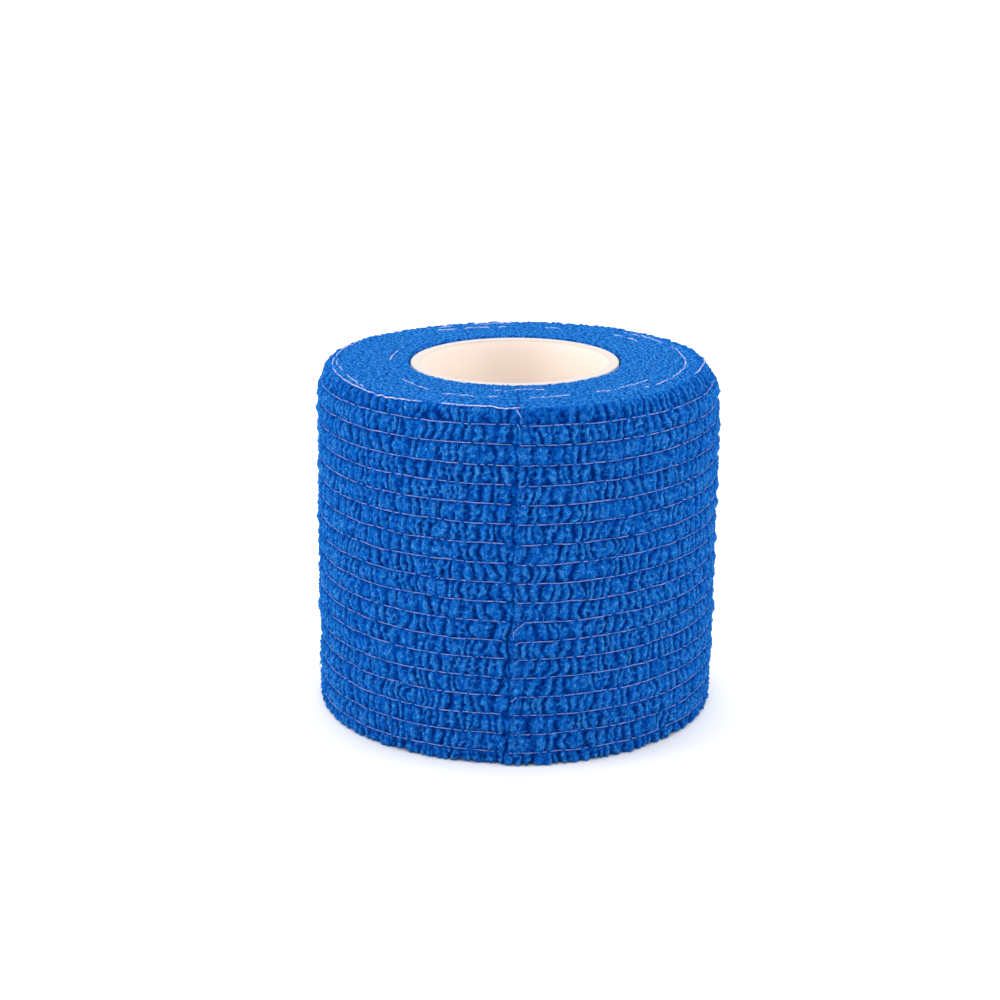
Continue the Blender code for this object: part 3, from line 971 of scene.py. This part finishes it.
def cloth_material():
    material, nodes, links, where, shader = start_material("crinkled cloth")
    raised, pale = attribute_node(nodes, "raised"), attribute_node(nodes, "pale")
    # Painted shade in the hollows and painted light on the crests, from the raised attribute
    base = ramp_node(nodes, links, raised, CLOTH_STOPS)
    blotches = math_node(nodes, links, "MULTIPLY", noise_node(nodes, links, where, 420.0, 3.0), 0.35)
    base = mix_colours(nodes, links, blotches, base, BLOTCH_COLOUR)
    above_most = math_node(nodes, links, "SUBTRACT", noise_node(nodes, links, where, 5200.0, 1.0), 0.42)
    specks = math_node(nodes, links, "MULTIPLY", above_most, 2.4, clamp=True)
    base = mix_colours(nodes, links, specks, base, SPECK_COLOUR)
    fine = fibre_lines(nodes, links, where, 2100.0, (1.0, 1.0, 0.6), 0.050)
    curled = fibre_lines(nodes, links, where, 1400.0, (1.0, 1.0, 0.8), 0.030)
    fibres = math_node(nodes, links, "MAXIMUM", fine, curled)
    # Fibre lines lit only where the cloth stands up: painted light
    on_raised = math_node(nodes, links, "MULTIPLY", fibres, math_node(nodes, links, "MULTIPLY", raised, 0.95))
    # Pale fibre in patches on crests and folds: a painted highlight
    patchy = math_node(nodes, links, "MULTIPLY", noise_node(nodes, links, where, 4200.0, 2.0, 0.7), 1.3)
    on_crests = math_node(nodes, links, "MULTIPLY", pale, patchy)
    lit = math_node(nodes, links, "ADD", on_raised, on_crests, clamp=True)
    colour = mix_colours(nodes, links, lit, base, LIT_COLOUR)
    # The brightest of it gets the painted highlight colour
    bright = math_node(nodes, links, "POWER", lit, 2.5)
    colour = mix_colours(nodes, links, bright, colour, CREST_HIGHLIGHT_COLOUR)
    links.new(colour, shader.inputs["Base Color"])
    shader.inputs["Roughness"].default_value = 0.95
    shader.inputs["Specular IOR Level"].default_value = 0.02
    shader.inputs["Sheen Weight"].default_value = 0.12
    shader.inputs["Sheen Roughness"].default_value = 0.5
    shader.inputs["Sheen Tint"].default_value = (*SHEEN_COLOUR, 1.0)
    grain = noise_node(nodes, links, where, 3800.0, 3.0, 0.7)
    height = math_node(nodes, links, "ADD", math_node(nodes, links, "MULTIPLY", fibres, 0.8), grain)
    add_bump(nodes, links, shader, height, 1.0, 0.10)
    return material


def plain_material(name, shades, scale, roughness, bump):
    """Two close shades in soft patches. bump is the scale, strength and depth of a fine unevenness."""
    material, nodes, links, where, shader = start_material(name)
    patches = noise_node(nodes, links, where, scale, 2.0)
    low, high = shades
    colour = ramp_node(nodes, links, patches, ((0.35, low), (0.65, high)))
    links.new(colour, shader.inputs["Base Color"])
    shader.inputs["Roughness"].default_value = roughness
    shader.inputs["Specular IOR Level"].default_value = 0.2
    bump_scale, strength, depth = bump
    add_bump(nodes, links, shader, noise_node(nodes, links, where, bump_scale, 2.0), strength, depth)
    return material


def core_material():
    """Plastic that is cream inside the tube, and on its rims a little greyer and painted darker, as painted
    shade that evens out the stronger light there.
    """
    material, nodes, links, where, shader = start_material("white plastic tube")
    clouds = noise_node(nodes, links, where, 90.0, 3.0)
    low, high = CREAM_COLOURS
    cream = ramp_node(nodes, links, clouds, ((0.3, low), (0.7, high)))
    split = nodes.new("ShaderNodeSeparateXYZ")
    links.new(where, split.inputs["Vector"])
    rim_level = (CORE_HIGH[2] - CORE_RIM_DEPTH) * MM
    above = math_node(nodes, links, "SUBTRACT", split.outputs["Z"], rim_level)
    on_rim = math_node(nodes, links, "MULTIPLY", above, 1.0 / (CORE_RIM_FADES_OVER * MM), clamp=True)
    # The rim's painted shade: darker than the inside, against the stronger light on it
    links.new(mix_colours(nodes, links, on_rim, cream, CORE_RIM_SHADE_COLOUR), shader.inputs["Base Color"])
    shader.inputs["Roughness"].default_value = 0.45
    add_bump(nodes, links, shader, noise_node(nodes, links, where, 700.0, 2.0), 0.15, 0.03)
    return material


def add_floor():
    bpy.ops.mesh.primitive_plane_add(size=8.0, location=(0.0, 0.0, 0.0))
    floor = bpy.context.object
    floor.name = "floor"
    floor.data.materials.append(plain_material("pale floor", FLOOR_COLOURS, 3.0, 0.9, (40.0, 0.02, 0.02)))


def add_softbox(name, place, size, power):
    """A square soft light that faces the roll's middle."""
    light = bpy.data.lights.new(name, "AREA")
    light.size = size
    light.energy = power
    lamp = bpy.data.objects.new(name, light)
    lamp.location = place
    towards = Vector((AXIS[0] * MM, AXIS[1] * MM, TAPE_WIDTH / 2 * MM)) - Vector(place)
    lamp.rotation_euler = towards.to_track_quat("-Z", "Y").to_euler()
    bpy.context.scene.collection.objects.link(lamp)


def add_floor_light():
    """Keeps the floor behind the roll as white as the floor round it."""
    light = bpy.data.lights.new("floor behind", "AREA")
    light.shape = "RECTANGLE"
    light.size, light.size_y = FLOOR_LAMP_SIZE
    light.energy = FLOOR_LAMP_POWER
    lamp = bpy.data.objects.new("floor behind", light)
    lamp.location = FLOOR_LAMP_PLACE
    bpy.context.scene.collection.objects.link(lamp)


def add_lights():
    world = bpy.data.worlds.new("studio")
    bpy.context.scene.world = world
    world.use_nodes = True
    background = world.node_tree.nodes["Background"]
    background.inputs["Color"].default_value = (1.0, 1.0, 1.0, 1.0)
    background.inputs["Strength"].default_value = WORLD_BRIGHTNESS
    for lamp in LAMPS:
        add_softbox(*lamp)
    add_floor_light()


def add_camera():
    """The photograph's view, found from its thread lines, rims and outline, then from where its cut lies."""
    right = np.array(CAMERA_RIGHT)
    up = np.array(CAMERA_UP)
    right /= np.linalg.norm(right)
    up -= right * (right @ up)
    up /= np.linalg.norm(up)
    back = np.cross(right, up)
    place = (np.array((*AXIS, 0.0)) + CAMERA_PLACE) * MM
    camera = bpy.data.cameras.new("camera")
    camera.sensor_width = 36.0
    camera.lens = CAMERA_LENS
    camera.clip_start = 0.01
    eye = bpy.data.objects.new("camera", camera)
    eye.matrix_world = Matrix(np.vstack((np.column_stack((right, up, back, place)), (0.0, 0.0, 0.0, 1.0))))
    bpy.context.scene.collection.objects.link(eye)
    bpy.context.scene.camera = eye


bpy.context.scene.view_settings.view_transform = "Standard"
cloth = Cloth()
thread_look = plain_material("elastic thread", THREAD_COLOURS, 1100.0, 0.7, (5000.0, 0.3, 0.02))
bare_look = plain_material("bare thread", BARE_THREAD_COLOURS, 2200.0, 0.7, (5000.0, 0.3, 0.02))
fibre_look = plain_material("stray fibre", FIBRE_COLOURS, 500.0, 0.8, (5000.0, 0.2, 0.01))
make_cloth(cloth, cloth_material())
make_threads(cloth, thread_look)
make_top_threads(cloth, bare_look)
make_fibres(cloth, fibre_look)
make_core(core_material())
add_floor()
add_lights()
add_camera()
